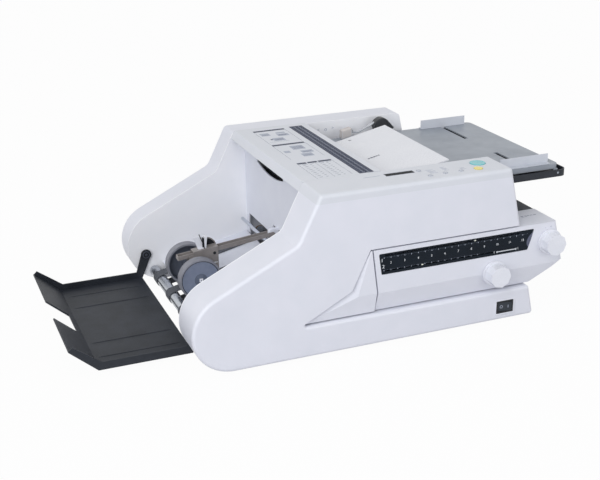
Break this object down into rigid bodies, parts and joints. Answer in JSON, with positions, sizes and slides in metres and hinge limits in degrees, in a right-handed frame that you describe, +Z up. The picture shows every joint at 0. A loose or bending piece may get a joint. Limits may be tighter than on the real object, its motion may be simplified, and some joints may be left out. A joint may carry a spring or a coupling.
{
  "type": "paper folding machine",
  "caption": "Table-top paper folding machine with a feed table at one end, a sliding fold unit with length scale and knobs, and a belt conveyor with press wheels above a hinged exit tray.",
  "frame": {"origin": "on the desk under the middle of the bounding box, with the exit tray down", "axes": "+X towards the feed table, -Y towards the operator and the fold scale, +Z up"},
  "size_m": [0.924, 0.509, 0.2885],
  "materials": {
    "body_plastic": "smooth pale bluish white, slight sheen",
    "panel_plastic": "smooth pale grey",
    "sheet_metal": "grey powder coat",
    "knob_plastic": "pale, satin",
    "dark_plastic": "charcoal, fine grain",
    "slab_plastic": "mid grey",
    "guide_plastic": "pale grey",
    "lever_plastic": "dark grey",
    "arm_paint": "taupe, satin",
    "wheel_plastic": "grey",
    "scale_print": "near black, glossy",
    "steel": "bare steel",
    "plate_steel": "dark coat",
    "roller_rubber": "ground rubber",
    "roller_metal": "turned",
    "belt_rubber": "woven belt",
    "bearing_bronze": "sintered",
    "motor_metal": "satin",
    "board_green": "solder mask",
    "foot_rubber": "matte",
    "start_teal": "teal",
    "stop_yellow": "yellow",
    "key_grey": "grey"
  },
  "bodies": {
    "chassis": {"base_pan": "sheet_metal", "front_cover": "body_plastic", "rear_cover": "body_plastic", "front_inner_panel": "panel_plastic", "rear_inner_panel": "panel_plastic", "control_deck": "body_plastic", "delivery_wall": "sheet_metal", "front_trim": "body_plastic", "front_frame": "sheet_metal", "rear_frame": "sheet_metal", "tie_bars": "steel", "switch_bezel": "dark_plastic", "display_window": "scale_print", "power_inlet": "dark_plastic", "feet": "foot_rubber", "motor": "motor_metal", "circuit_board": "board_green", "conveyor_bed": "sheet_metal", "conveyor_belts": "belt_rubber", "feed_table": "dark_plastic", "separator_pad": "roller_rubber", "roller_bearings": "bearing_bronze"},
    "top_cover": {"top_cover": "body_plastic", "ruler_strip": "scale_print"},
    "feed_flap": {"feed_flap": "body_plastic"},
    "feed_lever": {"feed_lever": "lever_plastic"},
    "lift_plate": {"lift_plate": "slab_plastic"},
    "front_guide": {"front_guide": "guide_plastic"},
    "rear_guide": {"rear_guide": "guide_plastic"},
    "fold_unit": {"unit_housing": "body_plastic", "scale_plate": "scale_print", "fold_plate_1": "plate_steel", "fold_plate_2": "plate_steel", "unit_side_plates": "steel"},
    "stop_1": {"stop_1": "steel"},
    "stop_2": {"stop_2": "steel"},
    "knob_1": {"knob_1": "knob_plastic"},
    "knob_2": {"knob_2": "knob_plastic"},
    "exit_tray": {"exit_tray": "dark_plastic"},
    "delivery_arm": {"delivery_arm": "arm_paint"},
    "carriage": {"wheel_carriage": "arm_paint", "arm_clamp": "knob_plastic", "wheel_axle": "steel"},
    "front_wheel": {"front_wheel": "wheel_plastic"},
    "rear_wheel": {"rear_wheel": "wheel_plastic"},
    "power_rocker": {"power_rocker": "dark_plastic"},
    "start_button": {"start_button": "start_teal"},
    "stop_button": {"stop_button": "stop_yellow"},
    "key_1": {"key_1": "key_grey"},
    "key_2": {"key_2": "key_grey"},
    "key_3": {"key_3": "key_grey"},
    "key_4": {"key_4": "key_grey"},
    "fold_roller_1": {"fold_roller_1": "roller_rubber"},
    "fold_roller_2": {"fold_roller_2": "roller_rubber"},
    "fold_roller_3": {"fold_roller_3": "roller_rubber"},
    "fold_roller_4": {"fold_roller_4": "roller_rubber"},
    "feed_roller": {"feed_roller": "roller_rubber"},
    "conveyor_drive_roller": {"conveyor_drive_roller": "roller_metal"},
    "conveyor_end_roller": {"conveyor_end_roller": "roller_metal"},
    "motor_pinion": {"motor_pinion": "steel"}
  },
  "joints": [
    {"name": "top_cover_hinge", "type": "hinge", "parent": "chassis", "child": "top_cover", "pos_m": [0.078, 0, 0.276], "axis": [0, 1, 0], "range_deg": [0, 75]},
    {"name": "feed_flap_hinge", "type": "hinge", "parent": "chassis", "child": "feed_flap", "pos_m": [0.096, 0, 0.262], "axis": [0, -1, 0], "range_deg": [0, 70]},
    {"name": "feed_lever_turn", "type": "hinge", "parent": "chassis", "child": "feed_lever", "pos_m": [0.239, 0.164, 0.27], "axis": [0, 1, 0], "range_deg": [0, 12]},
    {"name": "lift_plate_tilt", "type": "hinge", "parent": "chassis", "child": "lift_plate", "pos_m": [0.442, 0, 0.236], "axis": [0, 1, 0], "range_deg": [-1.5, 0], "stiffness_Nm_per_rad": 3, "springref_deg": 28.65},
    {"name": "front_guide_slide", "type": "slide", "parent": "lift_plate", "child": "front_guide", "axis": [0, 1, 0], "range_m": [0, 0.095]},
    {"name": "rear_guide_slide", "type": "slide", "parent": "lift_plate", "child": "rear_guide", "axis": [0, 1, 0], "range_m": [-0.095, 0]},
    {"name": "fold_unit_slide", "type": "slide", "parent": "chassis", "child": "fold_unit", "axis": [1, 0, 0], "range_m": [0, 0.12]},
    {"name": "stop_1_slide", "type": "slide", "parent": "fold_unit", "child": "stop_1", "axis": [1, 0, 0], "range_m": [-0.1684, 0.0856]},
    {"name": "stop_2_slide", "type": "slide", "parent": "fold_unit", "child": "stop_2", "axis": [1, 0, 0], "range_m": [-0.0681, 0.1859]},
    {"name": "knob_1_turn", "type": "hinge", "parent": "fold_unit", "child": "knob_1", "pos_m": [0.374, -0.2305, 0.1435], "axis": [0, 1, 0], "range_deg": [-969.9, 495.5]},
    {"name": "knob_2_turn", "type": "hinge", "parent": "fold_unit", "child": "knob_2", "pos_m": [0.265, -0.2305, 0.1015], "axis": [0, 1, 0], "range_deg": [-395.2, 1070.1]},
    {"name": "exit_tray_hinge", "type": "hinge", "parent": "chassis", "child": "exit_tray", "pos_m": [-0.247, 0, 0.063], "axis": [0, 1, 0], "range_deg": [0, 90]},
    {"name": "delivery_arm_hinge", "type": "hinge", "parent": "chassis", "child": "delivery_arm", "pos_m": [-0.051, 0.0215, 0.13669], "axis": [0, 1, 0], "range_deg": [0, 40]},
    {"name": "carriage_slide", "type": "slide", "parent": "delivery_arm", "child": "carriage", "axis": [0.994, 0, 0.1093], "range_m": [-0.02, 0.024]},
    {"name": "front_wheel_spin", "type": "hinge", "parent": "carriage", "child": "front_wheel", "pos_m": [-0.203, 0.0215, 0.08857], "axis": [0, 1, 0], "continuous": true},
    {"name": "rear_wheel_spin", "type": "hinge", "parent": "carriage", "child": "rear_wheel", "pos_m": [-0.203, 0.0215, 0.08857], "axis": [0, 1, 0], "continuous": true},
    {"name": "power_rocker_tilt", "type": "hinge", "parent": "chassis", "child": "power_rocker", "pos_m": [0.2905, -0.229, 0.03275], "axis": [0, 0, 1], "range_deg": [0, 16]},
    {"name": "start_button_press", "type": "slide", "parent": "chassis", "child": "start_button", "axis": [0, 0, -1], "range_m": [0, 0.0015], "stiffness_N_per_m": 300, "springref_m": -0.001},
    {"name": "stop_button_press", "type": "slide", "parent": "chassis", "child": "stop_button", "axis": [0, 0, -1], "range_m": [0, 0.0015], "stiffness_N_per_m": 300, "springref_m": -0.001},
    {"name": "key_1_press", "type": "slide", "parent": "chassis", "child": "key_1", "axis": [0, 0, -1], "range_m": [0, 0.001], "stiffness_N_per_m": 300, "springref_m": -0.001},
    {"name": "key_2_press", "type": "slide", "parent": "chassis", "child": "key_2", "axis": [0, 0, -1], "range_m": [0, 0.001], "stiffness_N_per_m": 300, "springref_m": -0.001},
    {"name": "key_3_press", "type": "slide", "parent": "chassis", "child": "key_3", "axis": [0, 0, -1], "range_m": [0, 0.001], "stiffness_N_per_m": 300, "springref_m": -0.001},
    {"name": "key_4_press", "type": "slide", "parent": "chassis", "child": "key_4", "axis": [0, 0, -1], "range_m": [0, 0.001], "stiffness_N_per_m": 300, "springref_m": -0.001},
    {"name": "fold_roller_4_spin", "type": "hinge", "parent": "chassis", "child": "fold_roller_4", "pos_m": [-0.006, 0.0215, 0.11667], "axis": [0, 1, 0], "continuous": true},
    {"name": "fold_roller_3_spin", "type": "hinge", "parent": "chassis", "child": "fold_roller_3", "pos_m": [0.018, 0.0215, 0.13783], "axis": [0, 1, 0], "continuous": true},
    {"name": "fold_roller_2_spin", "type": "hinge", "parent": "chassis", "child": "fold_roller_2", "pos_m": [-0.006, 0.0215, 0.159], "axis": [0, 1, 0], "continuous": true},
    {"name": "fold_roller_1_spin", "type": "hinge", "parent": "chassis", "child": "fold_roller_1", "pos_m": [-0.006, 0.0215, 0.191], "axis": [0, 1, 0], "continuous": true},
    {"name": "conveyor_drive_roller_spin", "type": "hinge", "parent": "chassis", "child": "conveyor_drive_roller", "pos_m": [-0.014, 0.0215, 0.07748], "axis": [0, 1, 0], "continuous": true},
    {"name": "conveyor_end_roller_spin", "type": "hinge", "parent": "chassis", "child": "conveyor_end_roller", "pos_m": [-0.231, 0.0215, 0.02728], "axis": [0, 1, 0], "continuous": true},
    {"name": "motor_pinion_spin", "type": "hinge", "parent": "chassis", "child": "motor_pinion", "pos_m": [0.046, 0.0215, 0.11667], "axis": [0, 1, 0], "continuous": true},
    {"name": "feed_roller_spin", "type": "hinge", "parent": "chassis", "child": "feed_roller", "pos_m": [0.052, 0.0215, 0.266], "axis": [0, 1, 0], "continuous": true}
  ],
  "couplings": [
    {"joint": "lift_plate_tilt", "follows": "feed_lever_turn", "ratio": -0.125},
    {"joint": "rear_guide_slide", "follows": "front_guide_slide", "ratio": -1},
    {"joint": "knob_1_turn", "follows": "stop_1_slide", "rad_per_m": 100},
    {"joint": "knob_2_turn", "follows": "stop_2_slide", "rad_per_m": 100},
    {"joint": "fold_roller_3_spin", "follows": "fold_roller_4_spin", "ratio": -1},
    {"joint": "fold_roller_2_spin", "follows": "fold_roller_4_spin", "ratio": 1},
    {"joint": "fold_roller_1_spin", "follows": "fold_roller_4_spin", "ratio": -1},
    {"joint": "conveyor_drive_roller_spin", "follows": "fold_roller_4_spin", "ratio": -0.66667},
    {"joint": "conveyor_end_roller_spin", "follows": "fold_roller_4_spin", "ratio": -0.66667},
    {"joint": "motor_pinion_spin", "follows": "fold_roller_4_spin", "ratio": -3.3333}
  ]
}
